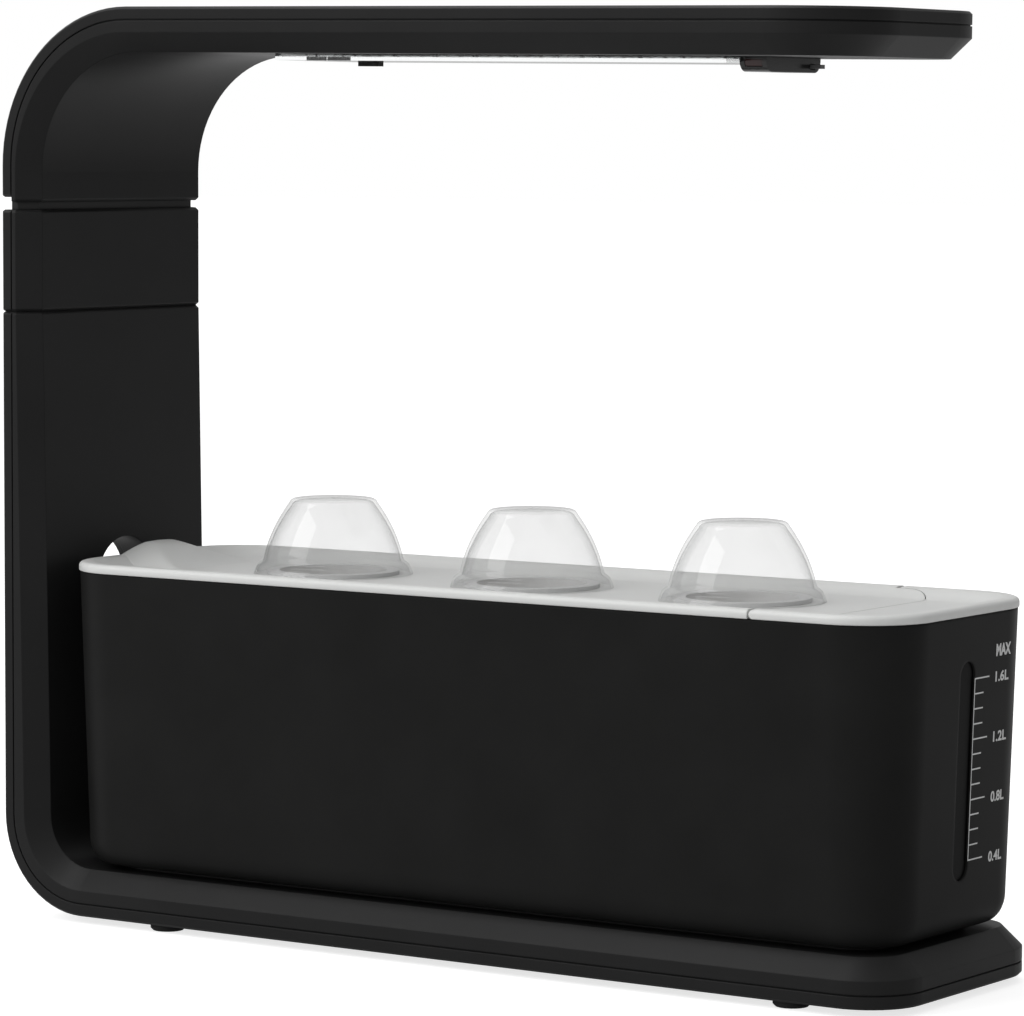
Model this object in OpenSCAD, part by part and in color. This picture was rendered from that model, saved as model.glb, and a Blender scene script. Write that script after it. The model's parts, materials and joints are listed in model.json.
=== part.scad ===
// Countertop hydroponic garden: a C-shaped stand with a lamp arm, a lift-out water tank,
// a planting deck with a hinged refill flap, three growing baskets and three clear domes.
// Millimetres. +X runs from the column towards the tip of the arm, +Z is up, and the origin
// is on the table under the middle of the object.

/* [Stand] */
// Overall length of the stand, from the back of the column to the end of the base
stand_l = 321; // [300:1:345]
// Overall height, from the table to the top of the arm
stand_h = 285; // [275:1:320]
// Width of the base, the column and the arm
ribbon_w = 91; // [86:1:110]
// Thickness of the base and of the bend above it
base_t = 14.2; // [13:0.2:18]
// Thickness of the column at its seams
col_t = 11.7; // [11:0.1:13]
// Thickness of the lamp arm
arm_t = 13.8; // [13:0.2:17]
// Size of the sloped edges that face the plants
edge_ch = 6; // [4:0.2:6.4]
// Small bevel on the outer edges
outer_bevel = 0.8; // [0.5:0.1:1.2]
// Inner radius of the bend between base and column
base_bend_r = 16.1; // [14:0.5:24]
// Inner radius of the bend between column and arm
arm_bend_r = 37.1; // [30:0.5:42]
// Corner radius of the base seen from above
base_corner_r = 18; // [14:1:28]
// Corner radius of the arm tip seen from above
tip_corner_r = 28; // [20:1:32]
// How far the arm tip stays behind the end of the base
arm_setback = 16.3; // [8:0.5:30]
// Slope of the lamp arm towards its tip in degrees
arm_tilt = 0.65; // [0:0.05:2]
// Thickness of the outer cover strip
cover_t = 3.8; // [3.4:0.1:4.2]
// Wall of the covers and shells
wall = 2; // [1.8:0.1:2.2]
// Width of the shadow line between cover and shell
groove_w = 0.5; // [0.3:0.1:0.8]
// Depth of the shadow line between cover and shell
groove_d = 0.5; // [0.3:0.1:0.8]

/* [Column joints] */
// Height of the arm's own part of the column, from its lower end to the top of the arm
arm_leg = 60.2; // [56:0.2:64]
// Height of the extension
ext_h = 31.8; // [31:0.5:34]
// Height of the neck that shows between the extension and the arm
neck_gap = 2.3; // [1.5:0.1:3]
// How much higher the arm cover ends than the arm shell
cover_rise = 1.6; // [0.6:0.1:2.4]
// Bevel around the ends of the column pieces
end_bevel = 0.9; // [0.4:0.1:1.2]
// Thickness of the end walls at the column seams
cap_t = 1.6; // [1.2:0.1:2]
// Width of the connecting tongues
tongue_w = 60; // [50:1:64]
// Thickness of the connecting tongues
tongue_t = 4; // [3.4:0.1:4.2]
// Length of the connecting tongues
tongue_l = 11; // [8:0.5:12]
// Gap between the inner blocks and the walls around them
plug_gap = 0.3; // [0.2:0.05:0.4]
// Thickness of the socket's floor
socket_floor = 1; // [0.8:0.1:2]
// How far the arm's inner block reaches above its seam
plug_rise = 12; // [10:0.5:16]
// How far the contact strips stand out of the inner blocks
strip_out = 3; // [2:0.5:5]
// Gap around a tongue in its socket
socket_gap = 0.3; // [0.2:0.05:0.4]
// Thickness of the contact strips
strip_t = 0.5; // [0.4:0.05:0.6]
// Width of the contact strips
strip_w = 5; // [4:0.5:6]
// Distance of each contact strip from the middle
strip_y = 24; // [22:1:26]
// Diameter of the internal leads
lead_d = 1.6; // [1.2:0.1:2]

/* [Round window in the column] */
// Diameter of the round opening through the column
port_d = 29; // [26:1:34]
// Height of the middle of the round opening
port_z = 103.3; // [95:0.1:108]
// Wall of the sleeve around the opening
port_wall = 1.6; // [1.2:0.1:2]

/* [Feet, screws and inlet] */
// Height of the feet under the base
foot_h = 2.3; // [1.5:0.1:4]
// Diameter of the feet
foot_d = 11; // [9:0.5:13]
// Depth of the recess that holds each foot
foot_seat = 1; // [0.6:0.1:1.2]
// Distance of the back feet from the back of the column
foot_back = 59.5; // [50:0.5:70]
// Distance of the front feet from the end of the base
foot_front = 36.5; // [32:0.5:48]
// Distance of the feet from the middle line
foot_y = 37.5; // [28:0.5:38]
// Distance of the base screws from the ends of the straight base
screw_inset = 62; // [55:1:75]
// Distance of the base screws from the middle line
screw_y = 27; // [20:1:30]
// Diameter of the base screws
screw_d = 3; // [2.5:0.1:3.5]
// Length of the base screws' thread
screw_l = 7.3; // [6:0.1:8]
// Height of the base screws' heads
screw_head = 1.2; // [1:0.1:1.4]
// Height of the middle of the power inlet
inlet_z = 48; // [44:1:56]
// Side of the power inlet body
inlet_w = 9; // [8:0.5:10]
// Bore of the power inlet
inlet_bore = 5.6; // [5.5:0.1:6.5]

/* [Lamp] */
// Length of the clear lamp cover
lens_l = 161.5; // [130:0.5:166]
// Width of the clear lamp cover
lens_w = 44; // [36:1:48]
// How far the lamp cover stands below the arm
lens_drop = 2; // [1:0.1:3]
// Thickness of the flange that holds the lamp cover
lens_flange_t = 1; // [0.8:0.1:1.4]
// How far the flange reaches past the lamp cover's sides
lens_flange = 1.5; // [1:0.1:2]
// Gap around the lamp cover
lens_gap = 0.25; // [0.15:0.05:0.4]
// Thickness of the lamp cover's face
lens_face = 1.2; // [0.8:0.1:1.6]
// Columns of light cells
led_cols = 11; // [6:1:13]
// Rows of light cells
led_rows = 3; // [2:1:3]
// Wall between two light cells
cell_wall = 1.6; // [1:0.1:3]
// Side of one light source
led_s = 3.2; // [2.4:0.1:4]
// Thickness of one light source
led_t = 0.8; // [0.6:0.1:1]
// Thickness of the light board
board_t = 1.6; // [1:0.1:2]
// How far the light board reaches past the lamp cover at each end
board_over = 7; // [6:0.5:9]
// Width of the light board
board_w = 50; // [48:1:54]
// Diameter of the board screws
board_screw_d = 2; // [1.6:0.1:2.4]

/* [Control pod] */
// Length of the pod along the arm
pod_l = 9; // [8:0.5:12]
// Width of the pod across the arm
pod_w = 30.6; // [24:0.2:36]
// Height of the pod below the arm
pod_h = 4.4; // [4.4:0.1:6]
// Wall of the pod
pod_wall = 1; // [0.8:0.1:1.2]
// Rounding of the pod's lower corners
pod_r = 3.4; // [2:0.1:3.6]
// Distance of the push button from the middle line
button_y = 10.8; // [9:0.1:11]
// Width of the push button
button_w = 2.4; // [2:0.1:2.6]
// Height of the push button
button_h = 1.2; // [1:0.1:1.3]
// How far the push button stands out
button_out = 3.4; // [2:0.1:3.6]
// How far the push button travels
button_travel = 1.2; // [0.6:0.1:1.2]
// Gap around the push button
button_gap = 0.2; // [0.15:0.05:0.3]

/* [Tank] */
// Wall of the tank
tank_wall = 2.2; // [1.8:0.1:3]
// Height of the seat that lifts the tank off the base
seat_h = 1.5; // [1:0.1:2.5]
// How far the seat stays inside the tank's outline
seat_inset = 13; // [12:0.5:16]
// Distance of the deck from the front of the column at its seam
tank_gap = 7.45; // [6:0.05:9]
// How far the deck stays behind the end of the base
deck_setback = 0.5; // [0.3:0.1:4]
// Height of the tank's top edge above the table
tank_top = 110.2; // [106:0.2:116]
// Slope of the tank walls in degrees
tank_draft = 1.9; // [1:0.1:2.6]
// Height of the rounding at the tank's foot
tank_round = 8; // [5:0.5:9]
// Height of the lower end of the level window
window_z0 = 33.9; // [30:0.5:45]
// Height of the upper end of the level window
window_z1 = 97.1; // [85:0.5:99]
// Width of the level window
window_w = 8.4; // [6:0.2:10]
// Depth of the groove in front of the level window
window_recess = 0.6; // [0.3:0.1:0.8]

/* [Deck] */
// How far the planting deck stays inside the base's sides
deck_inset = 0.15; // [-1:0.05:2.5]
// Corner radius of the deck
deck_r = 22; // [18:0.5:26]
// Height of the deck's rim
rim_h = 2.8; // [2:0.1:4]
// Width of the deck's rim
rim_w = 5.3; // [5:0.1:7]
// How far the deck overhangs the tank
deck_over = 0.4; // [0.3:0.1:1.5]
// Gap between the deck's skirt and the tank
skirt_gap = 0.6; // [0.4:0.1:1]
// Thickness of the deck's plate
deck_t = 2.4; // [2:0.1:3]
// Width of the slope inside the deck's rim
dish_slope = 8.5; // [6:0.5:10]
// Length of the raised grip at the column end of the deck
grip_l = 39; // [32:1:40]
// Width of the raised grip
grip_w = 38; // [30:1:42]
// Height of the raised grip above the rim
grip_h = 4.8; // [2:0.2:6]
// Place of the grip's crest, as a share of its length
grip_crest = 0.33; // [0.25:0.01:0.5]

/* [Refill flap] */
// Length of the refill flap, from its seam to the end of the deck
flap_l = 33; // [26:0.5:34]
// How far the flap's side arms reach past its seam
flap_arm = 13.6; // [8:0.2:14]
// Corner radius between the flap's seam and its side arms
flap_corner = 10; // [6:0.5:11]
// Width of the seam
flap_gap = 0.3; // [0.2:0.05:0.5]
// Gap behind the flap's round hinge ends
flap_heel_gap = 0.6; // [0.5:0.05:1]
// Diameter of the hinge pins
hinge_d = 1.5; // [1.2:0.1:1.8]
// Length of the hinge pins
hinge_l = 3; // [2:0.5:4]
// Radial gap around the hinge pins
hinge_gap = 0.08; // [0.03:0.01:0.1]

/* [Growing baskets] */
// Distance between neighbouring baskets
pitch = 74.4; // [66:0.2:76]
// Diameter of the basket's flange
flange_d = 41; // [39:0.5:42]
// Thickness of the basket's flange
flange_t = 1.2; // [1:0.1:1.6]
// Outer diameter of the basket below its flange
basket_d = 36; // [30:0.5:37]
// Outer diameter at the basket's foot
basket_foot_d = 28; // [22:0.5:29]
// Depth of the basket below the deck
basket_h = 42; // [34:1:46]
// Wall of the basket
basket_wall = 1.2; // [1:0.1:1.6]
// Gap around the basket in the deck
basket_gap = 0.3; // [0.2:0.05:0.5]
// Slots around the basket
slot_n = 8; // [4:1:10]
// Width of one slot
slot_w = 2.4; // [1.5:0.1:3]
// Gap around the sponge
sponge_gap = 0.3; // [0.2:0.05:0.5]
// How deep the sponge sits below the deck
sponge_drop = 3; // [2:0.2:5]
// Diameter of the planting hole in the sponge
seed_d = 5; // [3:0.5:8]
// Depth of the planting hole
seed_depth = 12; // [6:1:18]

/* [Domes] */
// Diameter of the dome's foot
dome_d = 49.6; // [47:0.2:52]
// Height of the dome
dome_h = 24; // [20:0.5:28]
// Height of the sloping foot of the dome
dome_foot_h = 3.4; // [3:0.1:4]
// Diameter of the dome just above its foot
dome_waist_d = 43.4; // [43.2:0.2:44.4]
// Diameter of the dome's top
dome_top_d = 27; // [22:0.5:32]
// Wall of the dome
dome_wall = 0.8; // [0.6:0.1:1]

/* [Hidden] */
$fn = 72;
eps = 0.01;
big = 600;

black = "#2b2b2d";
dark = "#222224";
deck_grey = "#b9bab8";
clear = [0.93, 0.95, 0.95, 0.35];
brass = "#c9a24a";
steel = "#b4b6b8";

arm_z0 = stand_h - arm_leg;
seam_z = arm_z0 - neck_gap - ext_h;
x_back = -stand_l/2;
x_front = stand_l/2;
z_base = foot_h;
half_w = ribbon_w/2;
// a wall of thickness e moved inward shortens a 45 degree edge by this share of e
ch_share = 2 - sqrt(2);

// [thickness at column end, thickness at bend, slab thickness, inner bend radius,
//  column height from the outer face, slab length from the back, plan corner radius, slab tilt]
base_p = [col_t, base_t, base_t, base_bend_r, seam_z - z_base, stand_l, base_corner_r, 0];
arm_p = [col_t, col_t, arm_t, arm_bend_r, arm_leg, stand_l - arm_setback, tip_corner_r, arm_tilt];

ext_z0 = seam_z;
ext_z1 = seam_z + ext_h;

tongue_s0 = (col_t - tongue_t)/2;
tongue_s1 = tongue_s0 + tongue_t;
plug_inset = wall + plug_gap;
socket_depth = tongue_l + socket_floor;
strip_free_s0 = tongue_s0 - socket_gap - strip_t;

seat_z = z_base + base_t;
tank_z0 = seat_z + seat_h;
deck_x0 = x_back + col_t + tank_gap;
deck_x1 = x_front - deck_setback;
deck_mid = (deck_x0 + deck_x1)/2;
tank_x0 = deck_x0 + deck_over;
tank_x1 = deck_x1 - deck_over;
deck_w = ribbon_w - 2*deck_inset;
tank_w = deck_w - 2*deck_over;
tank_r = deck_r - deck_over;
draft = tan(tank_draft);
// wall of the tank measured square to its slope
tank_skin = tank_wall*cos(tank_draft);
rim_z = tank_top + rim_h;
dish_z = tank_top;
plate_z0 = dish_z - deck_t;
skirt_inset = deck_over + tank_wall + skirt_gap;

seam_x = deck_x1 - flap_l;
hinge_r = rim_h/2;
hinge_x = seam_x - flap_arm + hinge_r;
hinge_z = tank_top + hinge_r;
arm_y0 = deck_w/2 - rim_w;

lamp_z = stand_h - arm_t;
lens_x0 = deck_mid - lens_l/2;
lens_x1 = deck_mid + lens_l/2;
board_z0 = lamp_z + wall + lens_flange_t;
cell_dx = (lens_l - cell_wall)/led_cols;
cell_dy = (lens_w - cell_wall)/led_rows;
led_z0 = board_z0 - led_t;
board_screw_x = board_over - 1.3*board_screw_d;
board_screw_y = board_w/2 - 2*board_screw_d;
board_screw_l = 1.2*board_screw_d;
clip_l = 8;
clip_t = 1.2;

pod_x0 = lens_x1 + 0.3;
pod_x1 = pod_x0 + pod_l;
pod_z0 = lamp_z - pod_h;
button_z = pod_z0 + pod_wall + button_h/2 + button_gap;
button_flange = 1;
button_stem = pod_wall + button_out;
button_lip = 0.6;
switch_x1 = pod_x1 - pod_wall - button_flange - button_travel - button_gap;

basket_x = [for (i = [-1:1]) deck_mid + i*pitch];
basket_hole = basket_d + 2*basket_gap;
sponge_h = basket_h - sponge_drop - basket_wall - sponge_gap;

// ---- ribbon: the flat band that makes base, column and arm ----

// closed plan of a slab whose right end has round corners, between two heights, with the
// outline drawn in by i0 at the lower height and by i1 at the upper one
module end_layer(x0, x1, hw, r, z0, z1, i0, i1) {
    rotate([90, 0, 90]) translate([0, 0, x0])
        linear_extrude(x1 - r - x0)
            polygon([[-hw + i0, z0], [hw - i0, z0], [hw - i1, z1], [-hw + i1, z1]]);
    rotate([90, 0, 0]) translate([0, 0, -(hw - r)])
        linear_extrude(2*(hw - r))
            polygon([[x1 - r - 1, z0], [x1 - i0, z0], [x1 - i1, z1], [x1 - r - 1, z1]]);
    for (sy = [-1, 1])
        translate([x1 - r, sy*(hw - r), z0]) cylinder(h = z1 - z0, r1 = r - i0, r2 = r - i1);
}

// the band in its own place: back face at x = 0, outer face at z = 0, slab towards +X, column up.
// s0 is the depth below the outer face, inset the distance from the sides, e from the inner face.
module ribbon(p, s0 = 0, inset = 0, e = 0, bevel = 0, cap = 0) {
    tc = p[0];
    tb = p[1];
    ts = p[2];
    ri = p[3];
    hc = p[4];
    tilt = p[7];
    ro = tb + ri;
    bx = to_micron(ro - (ts - tb)*sin(tilt));
    bz = to_micron(ro + (ts - tb)*cos(tilt));
    hw = half_w - inset;
    c = edge_ch - ch_share*max(e, 0);
    x1 = p[5] - inset;
    rc = p[6] - inset;
    lean = atan((bx - ri - tc)/(hc - bz));
    about_bend(ro, tilt) {
        if (bevel > 0)
            end_layer(ro, x1, hw, rc, s0, s0 + bevel, bevel, 0);
        end_layer(ro, x1, hw, rc, s0 + bevel, ts - e - c, 0, 0);
        end_layer(ro, x1, hw, rc, ts - e - c, ts - e, 0, c);
    }
    // bend
    difference() {
        union() {
            translate([ro, 0, ro]) rotate([90, 0, 0]) rotate([0, 0, 180])
                rotate_extrude(angle = 90 + tilt) polygon(band_half(ro - s0, hw, bevel));
            if (bz > ro)
                bevelled_block(s0, ro, hw, ro, bz, bevel);
        }
        translate([bx, 0, bz]) rotate([90, 0, 0]) cylinder(h = big, r = ri + e, center = true);
        for (sy = [-1, 1])
            translate([bx, sy*(hw - c), bz]) rotate([-90*sy, 0, 0])
                cylinder(h = c + 1, r1 = ri + e, r2 = ri + e + c + 1);
    }
    // column
    intersection() {
        bevelled_block(s0, tb + 5, hw, bz, hc - cap, bevel);
        translate([bx - ri - e, 0, bz]) rotate([0, -lean, 0]) translate([0, 0, -hc])
            linear_extrude(3*hc)
                polygon([[-tb - 9, -hw], [-c, -hw], [0, -hw + c], [0, hw - c], [-c, hw], [-tb - 9, hw]]);
    }
}

// a length rounded to a thousandth of a millimetre
function to_micron(v) = round(1000*v)/1000;

// tilts its children about the centre of a band's bend
module about_bend(ro, tilt) {
    translate([ro, 0, ro]) rotate([0, -tilt, 0]) translate([-ro, 0, -ro]) children();
}

// half section of the bend, swept about its centre
function band_half(r, hw, b) =
    b > 0 ? [[0, -hw], [r - b, -hw], [r, -hw + b], [r, hw - b], [r - b, hw], [0, hw]]
          : [[0, -hw], [r, -hw], [r, hw], [0, hw]];

// upright block from z0 to z1 with bevelled back edges
module bevelled_block(x0, x1, hw, z0, z1, b) {
    translate([0, 0, z0]) linear_extrude(z1 - z0)
        polygon([[x0, -hw + b], [x0 + b, -hw], [x1, -hw], [x1, hw], [x0 + b, hw], [x0, hw - b]]);
}

// inner shell of a band: open towards its cover, closed towards the plants
module band_shell(p, cap) {
    difference() {
        union() {
            ribbon(p, cover_t + groove_w);
            ribbon(p, cover_t, groove_d, groove_d);
        }
        ribbon(p, wall, wall, wall, 0, cap);
    }
}

// outer cover of a band: a shallow tray that closes the shell
module band_cover(p, cap) {
    difference() {
        ribbon(p, 0, 0, 0, outer_bevel);
        ribbon(p, cover_t, -1, -3);
        ribbon(p, wall, wall, wall, 0, cap);
    }
}

// wedge that bevels an edge: outward along +X, edge at the origin, up or down by s
module edge_wedge(s) {
    b = end_bevel;
    rotate([90, 0, 0]) linear_extrude(1.2*ribbon_w, center = true)
        polygon([[-b - 1, s], [1, -s*(b + 1)], [1, s]]);
}

// takes the sharp edges off the end of a column piece at height z, facing up or down
module end_bevels(z, up) {
    s = up ? 1 : -1;
    xm = x_back + col_t;
    translate([x_back, 0, z]) rotate([0, 0, 180]) edge_wedge(s);
    translate([xm, 0, z]) edge_wedge(s);
    for (sy = [-1, 1]) {
        translate([xm - col_t/2, sy*half_w, z]) rotate([0, 0, sy*90]) edge_wedge(s);
        translate([xm - edge_ch/2, sy*(half_w - edge_ch/2), z]) rotate([0, 0, sy*45]) edge_wedge(s);
    }
}

module in_stand() {
    translate([x_back, 0, z_base]) children();
}

module in_arm() {
    translate([x_back, 0, stand_h]) mirror([0, 0, 1]) children();
}

// carries pieces drawn under a level arm down with the tilted one
module on_arm() {
    r = arm_p[1] + arm_p[3];
    translate([x_back + r, 0, stand_h - r]) rotate([0, arm_tilt, 0])
        translate([-x_back - r, 0, r - stand_h]) children();
}

// straight piece of the column between two heights
module column_piece(z0, z1, s0 = 0, inset = 0, e = 0, bevel = 0) {
    hw = half_w - inset;
    c = edge_ch - ch_share*max(e, 0);
    t = col_t - e;
    translate([x_back, 0, z0]) linear_extrude(z1 - z0)
        polygon([[s0, -hw + bevel], [s0 + bevel, -hw], [t - c, -hw], [t, -hw + c],
                 [t, hw - c], [t - c, hw], [s0 + bevel, hw], [s0, hw - bevel]]);
}

// tongue or, with a gap, the space that it needs
module tongue(z0, z1, gap = 0) {
    translate([x_back + tongue_s0 - gap, -tongue_w/2 - gap, z0])
        cube([tongue_t + 2*gap, tongue_w + 2*gap, z1 - z0]);
}

module strips(s, z0, z1) {
    for (sy = [-1, 1])
        translate([x_back + s, sy*strip_y - strip_w/2, z0]) cube([strip_t, strip_w, z1 - z0]);
}

// ---- stand ----

module port(d, x0, x1) {
    translate([x0, 0, port_z]) rotate([0, 90, 0]) cylinder(h = x1 - x0, d = d);
}

screw_x = [x_back + screw_inset + base_bend_r, x_front - screw_inset];
boss_d = 2.3*screw_d;
screw_seat = z_base + 1.4;
inlet_y = strip_y;
inlet_x1 = x_back + wall + inlet_w*0.8;

module base_screw_at(x, y, d, z0, z1) {
    translate([x, y, z0]) cylinder(h = z1 - z0, d = d, $fn = 36);
}

// raised pad that the tank stands on
module tank_seat() {
    s = seat_inset;
    rr_layer(tank_x0 + s, tank_x1 - s, tank_w/2 - s, tank_r - s + 4, seat_z - 0.5, tank_z0, 0, 0);
}

module stand_shell() {
    color(black) difference() {
        union() {
            difference() {
                in_stand() band_shell(base_p, cap_t);
                end_bevels(seam_z, true);
            }
            tank_seat();
            intersection() {
                port(port_d + 2*port_wall, x_back + wall, x_back + base_t);
                in_stand() ribbon(base_p, wall, wall, eps);
            }
            for (x = screw_x, sy = [-1, 1])
                base_screw_at(x, sy*screw_y, boss_d, z_base + cover_t, seat_z - wall + eps);
        }
        port(port_d, x_back - 1, x_back + base_t + 2);
        tongue(seam_z - cap_t - 1, seam_z + 1, socket_gap);
        for (x = screw_x, sy = [-1, 1])
            base_screw_at(x, sy*screw_y, screw_d, z_base, z_base + 1 + screw_l + 0.5);
    }
}

module stand_cover() {
    color(black) difference() {
        union() {
            difference() {
                in_stand() band_cover(base_p, cap_t);
                end_bevels(seam_z, true);
            }
            for (x = screw_x, sy = [-1, 1])
                base_screw_at(x, sy*screw_y, boss_d, z_base + 0.5, z_base + cover_t);
            for (p = foot_places)
                translate([p[0], p[1], z_base + wall - eps]) cylinder(h = foot_seat*0.6, d = foot_d + 3);
        }
        port(port_d + 2*port_wall + 0.2, x_back + wall, x_back + 20);
        port(port_d, x_back - 1, x_back + wall + 1);
        tongue(seam_z - cap_t - 1, seam_z + 1, socket_gap);
        for (x = screw_x, sy = [-1, 1]) {
            base_screw_at(x, sy*screw_y, screw_d + 0.3, z_base - 1, z_base + cover_t + 1);
            base_screw_at(x, sy*screw_y, screw_d*2, z_base - 1, screw_seat);
        }
        for (p = foot_places)
            translate([p[0], p[1], z_base - 1]) cylinder(h = foot_seat + 1, d = foot_d);
        translate([x_back - 1, inlet_y, inlet_z]) rotate([0, 90, 0]) cylinder(h = wall + 2, d = inlet_w - 1);
    }
}

foot_places = [
    for (x = [x_back + foot_back, x_front - foot_front], sy = [-1, 1]) [x, sy*foot_y]
];

module rubber_feet() {
    b = 0.8;
    color("#1a1a1a") for (p = foot_places)
        translate([p[0], p[1], 0]) {
            cylinder(h = b, d1 = foot_d - 2*b, d2 = foot_d);
            translate([0, 0, b]) cylinder(h = foot_h + foot_seat - b, d = foot_d);
        }
}

module base_screws() {
    color(steel) for (x = screw_x, sy = [-1, 1]) difference() {
        union() {
            base_screw_at(x, sy*screw_y, screw_d*2 - 0.4, screw_seat - screw_head, screw_seat);
            base_screw_at(x, sy*screw_y, screw_d, z_base + 1, z_base + 1 + screw_l);
        }
        for (a = [0, 90])
            translate([x, sy*screw_y, z_base]) rotate([0, 0, a]) cube([3, 0.8, 1.6], center = true);
    }
}

socket_top = seam_z - cap_t;
socket_z0 = seam_z - socket_depth - 1.6;

module column_socket() {
    color(dark) difference() {
        column_piece(socket_z0, socket_top, plug_inset, plug_inset, plug_inset);
        tongue(seam_z - socket_depth, seam_z, socket_gap);
        strips(strip_free_s0, socket_z0 - 1, seam_z);
    }
}

module column_contacts() {
    color(brass) strips(strip_free_s0, socket_z0 - 5, socket_top - 1);
}

module power_inlet() {
    d = inlet_w;
    color(dark) difference() {
        union() {
            translate([x_back + wall, inlet_y - d/2, inlet_z - d/2]) cube([inlet_x1 - x_back - wall, d, d]);
            translate([x_back + 0.3, inlet_y, inlet_z]) rotate([0, 90, 0]) cylinder(h = wall, d = d - 1.3);
        }
        translate([x_back, inlet_y, inlet_z]) rotate([0, 90, 0]) cylinder(h = inlet_w*0.8, d = inlet_bore);
    }
    color(dark) translate([x_back + 1.5, inlet_y, inlet_z]) rotate([0, 90, 0])
        cylinder(h = inlet_x1 - x_back - 2, d = 2, $fn = 24);
}

lead_x = x_back + 5.4;

module stand_leads() {
    color("#8c1d1d") for (dy = [-2, 2])
        translate([lead_x, inlet_y + dy, inlet_z + inlet_w/2])
            cylinder(h = socket_z0 - inlet_z - inlet_w/2, d = lead_d, $fn = 24);
}

// ---- extension ----

module extension_shell() {
    color(black) difference() {
        union() {
            column_piece(ext_z0, ext_z1, cover_t + groove_w);
            column_piece(ext_z0, ext_z1, cover_t, groove_d, groove_d);
        }
        column_piece(ext_z0 + cap_t, ext_z1 - cap_t, wall, wall, wall);
        tongue(ext_z0 - 1, ext_z1 + 1, socket_gap);
        end_bevels(ext_z1, true);
        end_bevels(ext_z0, false);
    }
}

module extension_cover() {
    color(black) difference() {
        column_piece(ext_z0, ext_z1, 0, 0, 0, outer_bevel);
        translate([x_back + cover_t, -half_w - 1, ext_z0 - 1]) cube([col_t, ribbon_w + 2, ext_h + 2]);
        column_piece(ext_z0 + cap_t, ext_z1 - cap_t, wall, wall, wall);
        tongue(ext_z0 - 1, ext_z1 + 1, socket_gap);
        end_bevels(ext_z1, true);
        end_bevels(ext_z0, false);
    }
}

module extension_plug() {
    color(dark) difference() {
        union() {
            column_piece(ext_z0 + cap_t, ext_z1 - cap_t, plug_inset, plug_inset, plug_inset);
            tongue(ext_z0 - tongue_l, ext_z0 + cap_t + 1);
        }
        tongue(ext_z1 - socket_depth, ext_z1, socket_gap);
        extension_strips(1);
    }
}

// strip from the socket above to the tongue below, with a step between them
module extension_strips(over = 0) {
    step_z = ext_z0 + cap_t + 6;
    strips(strip_free_s0, step_z, ext_z1 - cap_t - 1 + over*2);
    strips(tongue_s0, ext_z0 - tongue_l + 1.5 - over*2, step_z + strip_t);
    for (sy = [-1, 1])
        translate([x_back + strip_free_s0, sy*strip_y - strip_w/2, step_z])
            cube([tongue_s0 - strip_free_s0 + strip_t, strip_w, strip_t]);
}

module extension_contacts() {
    color(brass) extension_strips();
}

// ---- arm ----

neck_inset = wall + plug_gap + 0.1;
plug_top = arm_z0 + plug_rise;

module arm_shell() {
    color(black) difference() {
        union() {
            difference() {
                in_arm() band_shell(arm_p, -1);
                end_bevels(arm_z0, false);
            }
            on_arm() for (p = board_screw_places)
                translate([p[0], p[1], lamp_z + wall - eps])
                    cylinder(h = lens_flange_t + eps, d = 2.5*board_screw_d, $fn = 36);
        }
        on_arm() {
            // opening for the lamp cover
            translate([lens_x0 - lens_gap, -lens_w/2 - lens_gap, lamp_z - 1])
                cube([lens_l + 2*lens_gap, lens_w + 2*lens_gap, wall + 2]);
            // way for the pod's leads, and holes for its pegs
            translate([pod_x0 + pod_l/2 - lead_way/2, -lead_way, lamp_z - 1]) cube([lead_way, 2*lead_way, wall + 2]);
            for (sy = [-1, 1])
                translate([pod_x0 + pod_l/2, sy*pod_peg_y, lamp_z - 1])
                    cylinder(h = wall + 2, d = pod_peg_d + 0.2, $fn = 36);
            for (p = board_screw_places)
                translate([p[0], p[1], board_z0 - board_screw_l - 0.2])
                    cylinder(h = board_screw_l + 1, d = board_screw_d, $fn = 36);
        }
    }
}

// side of the opening for the pod's leads
lead_way = 4;
// the bent lead stops this many degrees short of its splice
splice_turn = 2;
sleeve_l = 4;
sleeve_d = 1.4*lead_d;

pod_peg_y = pod_w/2 - 5;
pod_peg_d = 2.4;

board_screw_places = [
    for (x = [lens_x0 - board_screw_x, lens_x1 + board_screw_x], sy = [-1, 1]) [x, sy*board_screw_y]
];

module arm_cover() {
    color(black) difference() {
        in_arm() band_cover(arm_p, -1);
        translate([x_back - 1, -half_w - 1, arm_z0 - 1]) cube([col_t + 2, ribbon_w + 2, 1 + cover_rise]);
        end_bevels(arm_z0 + cover_rise, false);
    }
}

module arm_plug() {
    color(dark) difference() {
        union() {
            column_piece(ext_z1, plug_top, neck_inset, neck_inset, neck_inset);
            tongue(ext_z1 - tongue_l, ext_z1 + 1);
        }
        strips(tongue_s0, ext_z1 - tongue_l - 1, plug_top + 1);
    }
}

module arm_contacts() {
    color(brass) strips(tongue_s0, ext_z1 - tongue_l + 1.5, plug_top + strip_out);
}

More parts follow.
